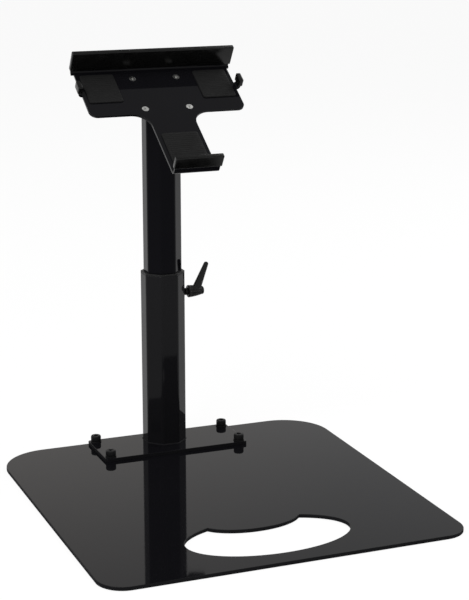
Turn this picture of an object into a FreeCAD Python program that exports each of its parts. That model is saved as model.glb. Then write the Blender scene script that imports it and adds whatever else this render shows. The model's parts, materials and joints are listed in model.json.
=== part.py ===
"""A height-adjustable stand: a flat base plate, a telescopic octagonal post and a tilted cradle.

Millimetres, +Z up. The origin is the centre of the base plate's underside, +X is the clamp lever's side
and +Y is the rear, where the post stands.
"""
import FreeCAD, Part
import math
import os

from FreeCAD import Placement, Rotation, Vector

# Base plate
plate_width = 500.0
plate_depth = 522.0
plate_thickness = 5.0
plate_front_radius = 36.0
plate_rear_radius = 70.0
plate_edge_round = 0.8

# Hand opening: an ellipse that an elliptical tongue of the plate enters from behind
opening_width = 226.0
opening_depth = 123.0
opening_front_margin = 29.0
opening_throat = 87.2
tongue_width = 144.0
tongue_depth = 86.0
cusp_round = 1.5

# Foot flange and its screws
flange_width = 220.0
flange_depth = 90.0
flange_thickness = 5.0
flange_corner_radius = 4.0
flange_edge_round = 0.6
flange_rear_margin = 0.5
flange_screw_inset_x = 10.0
flange_screw_inset_y = 9.0
flange_screw_diameter = 8.0
flange_screw_end_gap = 0.5
flange_screw_head_diameter = 14.8
flange_screw_head_height = 8.4
flange_screw_head_chamfer = 0.8
flange_screw_socket_flats = 6.0
flange_screw_socket_depth = 4.0
flange_hole_clearance = 0.5
flange_washer_diameter = 16.0
flange_washer_thickness = 1.6

# Outer post and the weld at its foot
outer_flats = 60.0
outer_wall = 2.0
outer_length = 256.0
outer_corner_radius = 5.0
least_corner_radius = 0.3
foot_weld_leg = 1.5

# Guide bush in the outer post's mouth
bush_wall = 1.8
bush_length = 75.0
bush_collar_thickness = 2.0
bush_collar_round = 0.5

# Inner post, whose size the outer post and the bush give, and the glide cap on its foot
inner_wall = 2.5
inner_corner_radius = 4.5
inner_insertion = 168.0
glide_height = 25.0
glide_floor = 4.0

# Clamp: threaded insert, shoe and stud
clamp_below_rim = 33.2
insert_body_diameter = 10.5
insert_flange_diameter = 12.5
insert_flange_thickness = 1.2
stud_diameter = 8.0
stud_collar_diameter = 10.5
stud_collar_length = 4.5
shoe_width = 19.0
shoe_height = 30.0
shoe_corner_radius = 2.0
shoe_gap = 0.1
shoe_travel_room = 0.9

# Teeth between the lever's hub and its stud
tooth_count = 20
tooth_tip_radius = 5.5
tooth_depth = 0.7
tooth_length = 4.0
stud_neck_radius = 4.5
stud_neck_length = 7.2

# Lever screw and the spring round it
web_thickness = 2.0
lever_screw_diameter = 4.0
lever_screw_grip = 5.5
lever_screw_head_gap = 0.5
lever_screw_head_height = 2.6
lever_screw_recess = 1.1
lever_screw_socket_flats = 2.5
lever_screw_socket_depth = 1.5
spring_wire = 0.7
spring_inner_gap = 0.5
spring_outer_gap = 0.6
spring_end_gap = 0.1
spring_length = 7.9
spring_turns = 3.5

# Clamp lever: its walls round the teeth and the spring, and places along its axis from the hub's start
lever_stand_off = 8.5
hub_inner_wall = 3.8
hub_outer_wall = 2.0
hub_edge_round = 1.2
flute_count = 12
flute_radius = 1.3
flute_depth = 0.5
flute_end_margin = 3.5
arm_root_offset = 12.7
arm_tip_offset = 30.8
arm_rise = 42.4
arm_root_width = 13.6
arm_tip_width = 7.2
arm_tip_round = 3.1
arm_flatness = 0.74

# Cradle: a tilted folded sheet, placed by the point where the post's axis meets its underside
cradle_tilt = 33.0
cradle_height = 525.5
cradle_width = 244.0
cradle_front_reach = 169.5
cradle_rear_reach = 55.5
sheet_thickness = 3.0
bend_radius = 3.0
front_lip_width = 66.0
front_lip_height = 30.0
rear_lip_width = 240.0
rear_lip_height = 36.0
side_tab_width = 13.0
side_tab_height = 17.0
side_tab_centre = 8.0
lip_corner_radius = 5.0
bar_front_reach = 44.0
bar_corner_radius = 12.0
stem_fillet_radius = 25.0

# Head plate on the inner post, and the cradle's screws round the post
head_plate_thickness = 5.0
head_plate_corner_radius = 8.0
head_weld_leg = 4.0
cradle_screw_room = 3.0
cradle_screw_edge = 10.0
cradle_screw_diameter = 5.0
cradle_screw_head_diameter = 10.0
cradle_screw_socket_flats = 3.0
cradle_screw_socket_depth = 2.0
cradle_screw_tail = 2.0
cradle_hole_clearance = 0.25
cradle_washer_diameter = 10.0
cradle_washer_thickness = 1.0
cradle_nut_flats = 8.0
cradle_nut_height = 4.0

# Rubber covers on the lips, and pads on the cradle's floor
cover_wall = 2.0
cover_end_wall = 2.0
front_cover_reach = 17.0
rear_cover_reach = 29.0
tab_cover_reach = 10.0
cover_round = 1.0
pad_thickness = 2.5
pad_corner_radius = 4.0
pad_edge_margin = 6.0
front_pad_length = 70.0
side_pad_width = 50.0
side_pad_length = 60.0

# Clearances of the fits
slide_clearance = 0.15
seat_clearance = 0.05
thread_clearance = 0.05
shoe_clearance = 0.4
tooth_clearance = 0.12

# Places worked out from the sizes above
plate_front = -plate_depth / 2
plate_rear = plate_depth / 2
opening_centre_y = plate_front + opening_front_margin + opening_depth / 2
tongue_centre_y = plate_front + opening_front_margin + opening_throat + tongue_depth / 2
flange_top = plate_thickness + flange_thickness
flange_rear = plate_rear - flange_rear_margin
flange_centre_y = flange_rear - flange_depth / 2
flange_screw_spacing_x = flange_width - 2 * flange_screw_inset_x
flange_screw_spacing_y = flange_depth - 2 * flange_screw_inset_y
post_y = flange_rear - foot_weld_leg - outer_flats / 2
rim_z = flange_top + outer_length
outer_bore_flats = outer_flats - 2 * outer_wall
outer_bore_radius = max(outer_corner_radius - outer_wall, least_corner_radius)
post_gap = seat_clearance + bush_wall + slide_clearance
inner_flats = outer_bore_flats - 2 * post_gap
inner_bore_flats = inner_flats - 2 * inner_wall
inner_bore_radius = max(inner_corner_radius - inner_wall, least_corner_radius)
inner_foot_z = rim_z - inner_insertion
clamp_z = rim_z - clamp_below_rim
post_face = outer_flats / 2
post_bore_face = outer_bore_flats / 2
shoe_inner_face = inner_flats / 2 + shoe_gap
shoe_outer_face = post_bore_face - shoe_travel_room
spring_mean_radius = lever_screw_diameter / 2 + spring_inner_gap + spring_wire / 2
spring_bore_radius = spring_mean_radius + spring_wire / 2 + spring_outer_gap
lever_screw_head_radius = spring_bore_radius - lever_screw_head_gap
hub_inner_radius = tooth_tip_radius + tooth_clearance + hub_inner_wall
hub_outer_radius = spring_bore_radius + hub_outer_wall
hub_start = post_face + lever_stand_off
neck_end = hub_start + tooth_length + stud_neck_length
web_start = neck_end + seat_clearance
spring_start = web_start + web_thickness + spring_end_gap
lever_screw_head_start = spring_start + spring_length + spring_end_gap
lever_screw_head_end = lever_screw_head_start + lever_screw_head_height
hub_end = lever_screw_head_end + lever_screw_recess
hub_length = hub_end - hub_start
bend_outer_radius = bend_radius + sheet_thickness
cradle_half = cradle_width / 2
front_face = -cradle_front_reach
rear_face = cradle_rear_reach
cradle_screw_spacing = inner_flats + 2 * (head_weld_leg + cradle_screw_room)
head_plate_size = cradle_screw_spacing + 2 * cradle_screw_edge

# Frames: the post's axis, the clamp's axis with local Z pointing out along +X, and the tilted cradle
post_frame = Placement(Vector(0, post_y, 0), Rotation())
clamp_frame = Placement(Vector(0, post_y, clamp_z), Rotation(Vector(0, 1, 0), 90))
cradle_frame = Placement(Vector(0, post_y, cradle_height), Rotation(Vector(1, 0, 0), cradle_tilt))


def placed(shape, frame):
    """A copy of a shape that was drawn at the origin, moved into a frame."""
    moved = shape.copy()
    moved.Placement = frame.multiply(shape.Placement)
    return moved


def outline(corners, z=0.0):
    """Closed wire through (x, y, radius) corners, each rounded by a tangent arc unless its radius is 0."""
    points = [Vector(x, y, z) for x, y, radius in corners]
    stretches = []
    for index, (x, y, radius) in enumerate(corners):
        corner = points[index]
        if radius <= 0:
            stretches.append((corner, None, corner))
            continue
        before = (points[index - 1] - corner).normalize()
        after = (points[(index + 1) % len(points)] - corner).normalize()
        half_angle = before.getAngle(after) / 2
        tangent = radius / math.tan(half_angle)
        inward = (before + after).normalize()
        centre = corner + inward * (radius / math.sin(half_angle))
        stretches.append((corner + before * tangent, centre - inward * radius, corner + after * tangent))
    edges = []
    for index, (start, middle, end) in enumerate(stretches):
        if middle is not None:
            edges.append(Part.Arc(start, middle, end).toShape())
        following = stretches[(index + 1) % len(stretches)][0]
        if end.distanceToPoint(following) > 1e-6:
            edges.append(Part.LineSegment(end, following).toShape())
    return Part.Wire(edges)


def slab(corners, z_low, z_high):
    """Prism over a rounded outline, from one height to another."""
    return Part.Face(outline(corners, z_low)).extrude(Vector(0, 0, z_high - z_low))


def rectangle(x_low, x_high, y_low, y_high, radius=0.0):
    corners = [(x_low, y_low), (x_high, y_low), (x_high, y_high), (x_low, y_high)]
    return [(x, y, radius) for x, y in corners]


def octagon(flats, radius=0.0):
    """Octagon across its flats, with flats square to X and Y."""
    reach = flats / 2 / math.cos(math.pi / 8)
    turns = [math.radians(22.5 + 45 * step) for step in range(8)]
    return [(reach * math.cos(turn), reach * math.sin(turn), radius) for turn in turns]


def octagon_bar(flats, radius, z_low, z_high):
    return slab(octagon(flats, radius), z_low, z_high)


def hexagon_bar(flats, z_low, z_high):
    reach = flats / 2 / math.cos(math.pi / 6)
    turns = [math.radians(60 * step) for step in range(6)]
    return slab([(reach * math.cos(turn), reach * math.sin(turn), 0) for turn in turns], z_low, z_high)


def cylinder(radius, z_low, z_high):
    return Part.makeCylinder(radius, z_high - z_low, Vector(0, 0, z_low))


def ring(outer_radius, inner_radius, z_low, z_high):
    return cylinder(outer_radius, z_low, z_high).cut(cylinder(inner_radius, z_low, z_high))


def oval_slab(width, depth, centre_y, thickness):
    """Elliptical prism on z = 0, so wide along X and so deep along Y."""
    ellipse = Part.Ellipse(Vector(0, 0, 0), max(width, depth) / 2, min(width, depth) / 2).toShape()
    prism = Part.Face(Part.Wire(ellipse)).extrude(Vector(0, 0, thickness))
    quarter_turns = 0 if width >= depth else 1
    return placed(prism, Placement(Vector(0, centre_y, 0), Rotation(Vector(0, 0, 1), 90 * quarter_turns)))


def four_places(spacing_x, spacing_y, centre_y=0.0):
    """The corners of a rectangle of screws."""
    return [Vector(sx * spacing_x / 2, centre_y + sy * spacing_y / 2, 0) for sx in (-1, 1) for sy in (-1, 1)]


def at_places(shape, places):
    """Copies of one shape, as a list of solids."""
    return [placed(shape, Placement(place, Rotation())) for place in places]


def flat_edges(shape, heights):
    """Edges that lie wholly at one of the given heights."""
    found = []
    for edge in shape.Edges:
        box = edge.BoundBox
        if any(abs(box.ZMin - z) < 1e-6 and abs(box.ZMax - z) < 1e-6 for z in heights):
            found.append(edge)
    return found


def upright_edges(shape):
    return [edge for edge in shape.Edges if edge.BoundBox.XLength < 1e-6 and edge.BoundBox.YLength < 1e-6]


flange_screw_places = four_places(flange_screw_spacing_x, flange_screw_spacing_y, flange_centre_y)
cradle_screw_places = four_places(cradle_screw_spacing, cradle_screw_spacing)


# The base

def base_plate():
    half = plate_width / 2
    plate = slab([
        (-half, plate_front, plate_front_radius),
        (half, plate_front, plate_front_radius),
        (half, plate_rear, plate_rear_radius),
        (-half, plate_rear, plate_rear_radius),
    ], 0, plate_thickness)
    opening = oval_slab(opening_width, opening_depth, opening_centre_y, plate_thickness)
    opening = opening.cut(oval_slab(tongue_width, tongue_depth, tongue_centre_y, plate_thickness))
    cusps = [edge for edge in upright_edges(opening) if edge.BoundBox.YMin > opening_centre_y]
    opening = opening.makeFillet(cusp_round, cusps)
    plate = plate.cut(opening)
    plate = plate.makeFillet(plate_edge_round, flat_edges(plate, (0, plate_thickness)))
    thread_hole = cylinder(flange_screw_diameter / 2 + thread_clearance, 0, plate_thickness)
    return plate.cut(at_places(thread_hole, flange_screw_places))


def foot_flange():
    half = flange_width / 2
    plan = rectangle(-half, half, flange_rear - flange_depth, flange_rear, flange_corner_radius)
    flange = slab(plan, plate_thickness, flange_top)
    flange = flange.makeFillet(flange_edge_round, flat_edges(flange, (flange_top,)))
    hole = cylinder(flange_screw_diameter / 2 + flange_hole_clearance, plate_thickness, flange_top)
    return flange.cut(at_places(hole, flange_screw_places))


def flange_washers():
    bore = flange_screw_diameter / 2 + flange_hole_clearance / 2
    washer = ring(flange_washer_diameter / 2, bore, flange_top, flange_top + flange_washer_thickness)
    return at_places(washer, flange_screw_places)


def flange_screws():
    seat = flange_top + flange_washer_thickness
    top = seat + flange_screw_head_height
    head = cylinder(flange_screw_head_diameter / 2, seat, top)
    head = head.makeChamfer(flange_screw_head_chamfer, flat_edges(head, (top,)))
    screw = head.fuse(cylinder(flange_screw_diameter / 2, flange_screw_end_gap, seat)).removeSplitter()
    screw = screw.cut(hexagon_bar(flange_screw_socket_flats, top - flange_screw_socket_depth, top))
    return at_places(screw, flange_screw_places)


def outer_post():
    tube = octagon_bar(outer_flats, outer_corner_radius, flange_top, rim_z)
    tube = placed(tube.cut(octagon_bar(outer_bore_flats, outer_bore_radius, flange_top, rim_z)), post_frame)
    hole_radius = insert_body_diameter / 2 + seat_clearance
    hole = cylinder(hole_radius, post_bore_face - outer_wall, post_face + outer_wall)
    return tube.cut(placed(hole, clamp_frame))


def foot_weld():
    lower_plan = octagon(outer_flats + 2 * foot_weld_leg, outer_corner_radius + foot_weld_leg)
    lower = outline(lower_plan, flange_top)
    upper = outline(octagon(outer_flats, outer_corner_radius), flange_top + foot_weld_leg)
    bead = Part.makeLoft([lower, upper], True, True)
    post = octagon_bar(outer_flats, outer_corner_radius, flange_top, flange_top + foot_weld_leg)
    return placed(bead.cut(post), post_frame)


def guide_bush():
    bottom = rim_z - bush_length
    top = rim_z + bush_collar_thickness
    collar = octagon_bar(outer_flats, outer_corner_radius, rim_z, top)
    collar = collar.makeFillet(bush_collar_round, flat_edges(collar, (top,)))
    sleeve = octagon_bar(outer_bore_flats - 2 * seat_clearance, outer_bore_radius, bottom, rim_z)
    passage = octagon_bar(inner_flats + 2 * slide_clearance, inner_corner_radius, bottom, top)
    bush = placed(collar.fuse(sleeve).cut(passage), post_frame)
    window = slab(
        rectangle(
            -shoe_height / 2 - shoe_clearance, shoe_height / 2 + shoe_clearance,
            -shoe_width / 2 - shoe_clearance, shoe_width / 2 + shoe_clearance,
            shoe_corner_radius),
        inner_flats / 2 - inner_wall, post_face)
    return bush.cut(placed(window, clamp_frame))


# The clamp, drawn along its own axis

def clamp_insert():
    insert = cylinder(insert_body_diameter / 2, post_bore_face, post_face)
    flange = cylinder(insert_flange_diameter / 2, post_face, post_face + insert_flange_thickness)
    bore = cylinder(stud_diameter / 2 + thread_clearance, post_bore_face, post_face + insert_flange_thickness)
    return placed(insert.fuse(flange).cut(bore), clamp_frame)


def clamp_shoe():
    plan = rectangle(-shoe_height / 2, shoe_height / 2, -shoe_width / 2, shoe_width / 2, shoe_corner_radius)
    return placed(slab(plan, shoe_inner_face, shoe_outer_face), clamp_frame)


def toothed_bar(growth, z_low, z_high):
    """Bar with pointed teeth, grown outwards by a clearance."""
    corners = []
    for step in range(2 * tooth_count):
        turn = math.pi * step / tooth_count
        radius = tooth_tip_radius + growth - (tooth_depth if step % 2 else 0)
        corners.append((radius * math.cos(turn), radius * math.sin(turn), 0))
    return slab(corners, z_low, z_high)


def clamp_stud():
    stud = cylinder(stud_diameter / 2, shoe_outer_face + seat_clearance, hub_start)
    stud = stud.fuse(cylinder(stud_collar_diameter / 2, hub_start - stud_collar_length, hub_start))
    stud = stud.fuse(toothed_bar(0, hub_start, hub_start + tooth_length))
    stud = stud.fuse(cylinder(stud_neck_radius, hub_start + tooth_length, neck_end))
    hole_radius = lever_screw_diameter / 2 + thread_clearance
    hole = cylinder(hole_radius, neck_end - lever_screw_grip - 2 * seat_clearance, neck_end)
    return placed(stud.cut(hole), clamp_frame)


def hub_flutes():
    """Shallow grooves along the hub's cone."""
    slope = math.atan2(hub_inner_radius - hub_outer_radius, hub_length)
    start_z = hub_start + flute_end_margin
    start_radius = hub_inner_radius - flute_end_margin * math.tan(slope) + flute_radius - flute_depth
    length = hub_length - 2 * flute_end_margin
    along = Vector(-math.sin(slope), 0, math.cos(slope))
    flute = Part.makeCylinder(flute_radius, length, Vector(start_radius, 0, start_z), along)
    start = Part.makeSphere(flute_radius, Vector(start_radius, 0, start_z))
    end = Part.makeSphere(flute_radius, Vector(start_radius, 0, start_z) + along * length)
    flute = flute.fuse([start, end])
    step = 360.0 / flute_count
    turns = [Rotation(Vector(0, 0, 1), step * (index + 0.5)) for index in range(flute_count)]
    return [placed(flute, Placement(Vector(), turn)) for turn in turns]


def lever_arm():
    """Tapering arm from inside the hub to a rounded tip, up along the clamp frame's local -X."""
    root = Vector(0, 0, hub_start + arm_root_offset)
    tip = Vector(-arm_rise, 0, hub_start + arm_tip_offset)
    length = root.distanceToPoint(tip)
    arm = Part.makeCone(arm_root_width / 2, arm_tip_width / 2, length)
    arm = arm.makeFillet(arm_tip_round, flat_edges(arm, (length,)))
    flattened = FreeCAD.Matrix()
    flattened.scale(1, arm_flatness, 1)
    arm = arm.transformGeometry(flattened)
    direction = (tip - root).normalize()
    across = Vector(direction.z, 0, -direction.x)
    turned = Rotation(across, direction.cross(across), direction, "ZXY")
    return placed(arm, Placement(root, turned))


def lever_handle():
    hub = Part.makeCone(hub_inner_radius, hub_outer_radius, hub_length, Vector(0, 0, hub_start))
    hub = hub.makeFillet(hub_edge_round, flat_edges(hub, (hub_start, hub_end)))
    hub = hub.cut(hub_flutes())
    handle = hub.fuse(lever_arm())
    web_end = web_start + web_thickness
    hollows = [
        toothed_bar(tooth_clearance, hub_start, hub_start + tooth_length),
        cylinder(stud_neck_radius + tooth_clearance, hub_start, web_start),
        cylinder(lever_screw_diameter / 2 + slide_clearance, web_start, web_end),
        cylinder(spring_bore_radius, web_end, hub_end),
    ]
    return placed(handle.cut(hollows), clamp_frame)


def lever_screw():
    shank = cylinder(lever_screw_diameter / 2, neck_end - lever_screw_grip, lever_screw_head_start)
    screw = shank.fuse(cylinder(lever_screw_head_radius, lever_screw_head_start, lever_screw_head_end))
    socket_start = lever_screw_head_end - lever_screw_socket_depth
    socket = hexagon_bar(lever_screw_socket_flats, socket_start, lever_screw_head_end)
    return placed(screw.cut(socket), clamp_frame)


def arc_between(start, corner, end):
    """Arc from start to end whose tangents at both ends meet at the corner."""
    middle = (start + end) * 0.5
    cosine = start.distanceToPoint(middle) / start.distanceToPoint(corner)
    return Part.Arc(start, middle + (corner - middle) * (cosine / (1 + cosine)), end).toShape()


def lever_spring():
    """Compression spring: a helix of two arcs to each quarter turn."""
    rise = (spring_length - spring_wire) / spring_turns
    start_z = spring_start + spring_wire / 2
    quarters = int(round(4 * spring_turns))

    def point(turns):
        angle = 2 * math.pi * turns
        x = spring_mean_radius * math.cos(angle)
        y = spring_mean_radius * math.sin(angle)
        return Vector(x, y, start_z + rise * turns)

    def heading(turns):
        angle = 2 * math.pi * turns
        speed = 2 * math.pi * spring_mean_radius
        return Vector(-speed * math.sin(angle), speed * math.cos(angle), rise).normalize()

    edges = []
    for quarter in range(quarters):
        begin, finish = quarter / 4.0, (quarter + 1) / 4.0
        chord = point(finish) - point(begin)
        headings = heading(begin) + heading(finish)
        square = 2 * (1 - heading(begin).dot(heading(finish)))
        linear = 2 * chord.dot(headings)
        reach = (-linear + math.sqrt(linear ** 2 + 4 * square * chord.dot(chord))) / (2 * square)
        first = point(begin) + heading(begin) * reach
        second = point(finish) - heading(finish) * reach
        joint = (first + second) * 0.5
        edges.append(arc_between(point(begin), first, joint))
        edges.append(arc_between(joint, second, point(finish)))
    section = Part.Circle(point(0), heading(0), spring_wire / 2).toShape()
    samples = [point(step / 16.0) for step in range(int(16 * spring_turns) + 1)]
    gaps = [a.distanceToPoint(b) for n, a in enumerate(samples) for b in samples[n + 8:]]
    print("spring: least gap between turns %.2f mm" % (min(gaps) - spring_wire))
    coil = Part.Wire(edges).makePipeShell([Part.Wire(section)], True, False)
    return placed(coil, clamp_frame)


# The inner post

def inner_post():
    top = cradle_height + inner_flats
    tube = octagon_bar(inner_flats, inner_corner_radius, inner_foot_z, top)
    tube = placed(tube.cut(octagon_bar(inner_bore_flats, inner_bore_radius, inner_foot_z, top)), post_frame)
    return tube.cut(above_head_plate())


def above_head_plate():
    """Everything above the head plate's slanted underside."""
    reach = 2 * inner_flats
    block = slab(rectangle(-reach, reach, -reach, reach), -head_plate_thickness, 2 * reach)
    return placed(block, cradle_frame)


def post_glide():
    bottom = inner_foot_z - glide_floor
    top = bottom + glide_height
    cap = octagon_bar(outer_bore_flats - 2 * slide_clearance, outer_bore_radius, bottom, top)
    seat = octagon_bar(inner_flats + 2 * seat_clearance, inner_corner_radius, inner_foot_z, top)
    return placed(cap.cut(seat), post_frame)


def head_plate():
    half = head_plate_size / 2
    plate = slab(rectangle(-half, half, -half, half, head_plate_corner_radius), -head_plate_thickness, 0)
    hole = cylinder(cradle_screw_diameter / 2 + cradle_hole_clearance, -head_plate_thickness, 0)
    return placed(plate.cut(at_places(hole, cradle_screw_places)), cradle_frame)


def slanted_octagon(flats, depth):
    """Octagon across flats about the post's axis, on a plane at some depth under the cradle."""
    slant = math.radians(cradle_tilt)
    corners = []
    for x, y, radius in octagon(flats):
        z = cradle_height + y * math.tan(slant) - depth / math.cos(slant)
        corners.append(Vector(x, post_y + y, z))
    return Part.makePolygon(corners + corners[:1])


def head_weld():
    upper = slanted_octagon(inner_flats + 2 * head_weld_leg, head_plate_thickness)
    lower = slanted_octagon(inner_flats, head_plate_thickness + head_weld_leg)
    bead = Part.makeLoft([lower, upper], True, True)
    post = octagon_bar(inner_flats, inner_corner_radius, inner_foot_z, cradle_height + inner_flats)
    return bead.cut(placed(post, post_frame))


# The cradle, drawn flat and then tilted

def folded_lip(width, height):
    """Lip folded up from a sheet: outer face on local y = 0, underside on local z = 0, centred on local x."""
    inner = sheet_thickness + bend_radius
    outer_arc = Part.Arc(
        Vector(0, inner, 0),
        Vector(0, inner - inner * math.sin(math.pi / 4), inner - inner * math.cos(math.pi / 4)),
        Vector(0, 0, inner))
    inner_arc = Part.Arc(
        Vector(0, sheet_thickness, inner),
        Vector(0, inner - bend_radius * math.sin(math.pi / 4), inner - bend_radius * math.cos(math.pi / 4)),
        Vector(0, inner, sheet_thickness))
    edges = [
        outer_arc.toShape(),
        Part.LineSegment(Vector(0, 0, inner), Vector(0, 0, height)).toShape(),
        Part.LineSegment(Vector(0, 0, height), Vector(0, sheet_thickness, height)).toShape(),
        Part.LineSegment(Vector(0, sheet_thickness, height), Vector(0, sheet_thickness, inner)).toShape(),
        inner_arc.toShape(),
        Part.LineSegment(Vector(0, inner, sheet_thickness), Vector(0, inner, 0)).toShape(),
    ]
    lip = Part.Face(Part.Wire(edges)).extrude(Vector(width, 0, 0))
    lip = placed(lip, Placement(Vector(-width / 2, 0, 0), Rotation()))
    top_corners = [
        edge for edge in lip.Edges
        if edge.BoundBox.ZMin > height - 1e-6 and edge.BoundBox.XLength < 1e-6]
    return lip.makeFillet(lip_corner_radius, top_corners)


# Each lip's width, height and cover, and the turn and place of its outer face on the cradle
side_tab = (side_tab_width, side_tab_height, tab_cover_reach)
lips = {
    "front": (front_lip_width, front_lip_height, front_cover_reach, Vector(0, front_face, 0), 0),
    "rear": (rear_lip_width, rear_lip_height, rear_cover_reach, Vector(0, rear_face, 0), 180),
    "left": (*side_tab, Vector(-cradle_half, side_tab_centre, 0), -90),
    "right": (*side_tab, Vector(cradle_half, side_tab_centre, 0), 90),
}


def at_lip(shape, name):
    """A shape drawn at a lip's own outer face, moved to where that lip stands."""
    place, turn = lips[name][3:]
    return placed(shape, Placement(place, Rotation(Vector(0, 0, 1), turn)))


def cradle_plate():
    stem = front_lip_width / 2
    edge = cradle_half - bend_outer_radius
    stem_front = front_face + bend_outer_radius
    bar_rear = rear_face - bend_outer_radius
    floor = slab([
        (-stem, stem_front, 0),
        (stem, stem_front, 0),
        (stem, -bar_front_reach, stem_fillet_radius),
        (edge, -bar_front_reach, bar_corner_radius),
        (edge, bar_rear, 0),
        (-edge, bar_rear, 0),
        (-edge, -bar_front_reach, bar_corner_radius),
        (-stem, -bar_front_reach, stem_fillet_radius),
    ], 0, sheet_thickness)
    folds = [at_lip(folded_lip(*lips[name][:2]), name) for name in lips]
    sheet = floor.fuse(folds).removeSplitter()
    sheet = sheet.cut(at_places(screw_cone(seat_clearance), cradle_screw_places))
    return placed(sheet, cradle_frame)


def screw_cone(growth):
    """Countersunk head flush with the cradle's floor, on a stub of its shank, grown by a clearance."""
    head_radius = cradle_screw_head_diameter / 2
    shank_radius = cradle_screw_diameter / 2
    head_height = head_radius - shank_radius
    stub = cylinder(shank_radius + growth, 0, sheet_thickness)
    head = Part.makeCone(
        shank_radius + growth, head_radius + growth, head_height, Vector(0, 0, sheet_thickness - head_height))
    return stub.fuse(head)


def cradle_screws():
    nut_end = -head_plate_thickness - cradle_washer_thickness - cradle_nut_height
    screw = screw_cone(0).fuse(cylinder(cradle_screw_diameter / 2, nut_end - cradle_screw_tail, 0))
    socket_end = sheet_thickness - cradle_screw_socket_depth
    socket = hexagon_bar(cradle_screw_socket_flats, socket_end, sheet_thickness)
    screw = screw.removeSplitter().cut(socket)
    return [placed(solid, cradle_frame) for solid in at_places(screw, cradle_screw_places)]


def cradle_washers():
    top = -head_plate_thickness
    bore = cradle_screw_diameter / 2 + cradle_hole_clearance
    washer = ring(cradle_washer_diameter / 2, bore, top - cradle_washer_thickness, top)
    return [placed(solid, cradle_frame) for solid in at_places(washer, cradle_screw_places)]


def cradle_nuts():
    top = -head_plate_thickness - cradle_washer_thickness
    nut = hexagon_bar(cradle_nut_flats, top - cradle_nut_height, top)
    nut = nut.cut(cylinder(cradle_screw_diameter / 2 + thread_clearance, top - cradle_nut_height, top))
    return [placed(solid, cradle_frame) for solid in at_places(nut, cradle_screw_places)]


def lip_cover(name):
    """Rubber cap over a lip's upper edge."""
    width, height, cover_reach = lips[name][:3]
    half = width / 2 + cover_end_wall
    plan = rectangle(-half, half, -cover_wall, sheet_thickness + cover_wall, cover_round)
    top = height + cover_wall
    cap = slab(plan, height - cover_reach, top)
    cap = cap.makeFillet(cover_round, flat_edges(cap, (top,)))
    return placed(at_lip(cap.cut(folded_lip(width, height)), name), cradle_frame)


def pad(x_low, x_high, y_low, y_high):
    plan = rectangle(x_low, x_high, y_low, y_high, pad_corner_radius)
    return placed(slab(plan, sheet_thickness, sheet_thickness + pad_thickness), cradle_frame)


def front_pad():
    half = front_lip_width / 2 - pad_edge_margin
    start = front_face + bend_outer_radius + pad_edge_margin
    return pad(-half, half, start, start + front_pad_length)


def side_pad(side):
    outer = cradle_half - bend_outer_radius - pad_edge_margin
    inner = outer - side_pad_width
    rear = rear_face - bend_outer_radius - pad_edge_margin
    x_low, x_high = sorted((side * inner, side * outer))
    return pad(x_low, x_high, rear - side_pad_length, rear)


nodes = {
    "base_plate": base_plate(),
    "foot_flange": foot_flange(),
    "flange_washers": flange_washers(),
    "flange_screws": flange_screws(),
    "outer_post": outer_post(),
    "foot_weld": foot_weld(),
    "guide_bush": guide_bush(),
    "clamp_insert": clamp_insert(),
    "clamp_shoe": clamp_shoe(),
    "clamp_stud": clamp_stud(),
    "lever_handle": lever_handle(),
    "lever_spring": lever_spring(),
    "lever_screw": lever_screw(),
    "inner_post": inner_post(),
    "post_glide": post_glide(),
    "head_plate": head_plate(),
    "head_weld": head_weld(),
    "cradle_plate": cradle_plate(),
    "cradle_screws": cradle_screws(),
    "cradle_washers": cradle_washers(),
    "cradle_nuts": cradle_nuts(),
    "front_cover": lip_cover("front"),
    "rear_cover": lip_cover("rear"),
    "left_cover": lip_cover("left"),
    "right_cover": lip_cover("right"),
    "front_pad": front_pad(),
    "left_pad": side_pad(-1),
    "right_pad": side_pad(1),
}

os.makedirs("parts", exist_ok=True)
for name, shape in nodes.items():
    solids = shape if isinstance(shape, list) else shape.Solids
    body = solids[0] if len(solids) == 1 else Part.makeCompound(solids)
    print("%-16s solids %d  valid %s  volume %.1f" % (name, len(solids), body.isValid(), body.Volume))
    body.exportStep("parts/%s.step" % name)
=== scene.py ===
"""Looks of a height-adjustable stand: gloss black paint, plastic, rubber and plated fasteners.

Metres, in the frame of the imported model: +Z up, +X the clamp lever's side, +Y the rear.
"""

import json
import math
import random

import bmesh
import bpy
from mathutils import Matrix, Vector


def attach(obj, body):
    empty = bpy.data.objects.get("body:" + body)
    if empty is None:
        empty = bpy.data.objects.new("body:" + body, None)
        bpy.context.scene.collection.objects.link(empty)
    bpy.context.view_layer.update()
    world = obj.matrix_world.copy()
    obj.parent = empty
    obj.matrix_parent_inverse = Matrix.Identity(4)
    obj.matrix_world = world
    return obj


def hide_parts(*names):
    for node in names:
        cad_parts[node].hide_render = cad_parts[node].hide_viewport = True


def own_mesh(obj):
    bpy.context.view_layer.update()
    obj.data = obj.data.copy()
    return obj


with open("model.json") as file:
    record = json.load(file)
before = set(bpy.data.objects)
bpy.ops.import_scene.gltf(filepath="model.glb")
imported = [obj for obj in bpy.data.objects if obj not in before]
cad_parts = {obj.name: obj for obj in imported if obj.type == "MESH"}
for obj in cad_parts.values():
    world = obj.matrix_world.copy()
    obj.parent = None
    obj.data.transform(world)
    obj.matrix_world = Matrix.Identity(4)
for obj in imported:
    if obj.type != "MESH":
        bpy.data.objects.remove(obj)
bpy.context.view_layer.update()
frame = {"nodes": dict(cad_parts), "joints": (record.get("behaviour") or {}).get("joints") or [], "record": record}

MM = 0.001
nodes = frame["nodes"]
scene = bpy.context.scene

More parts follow.
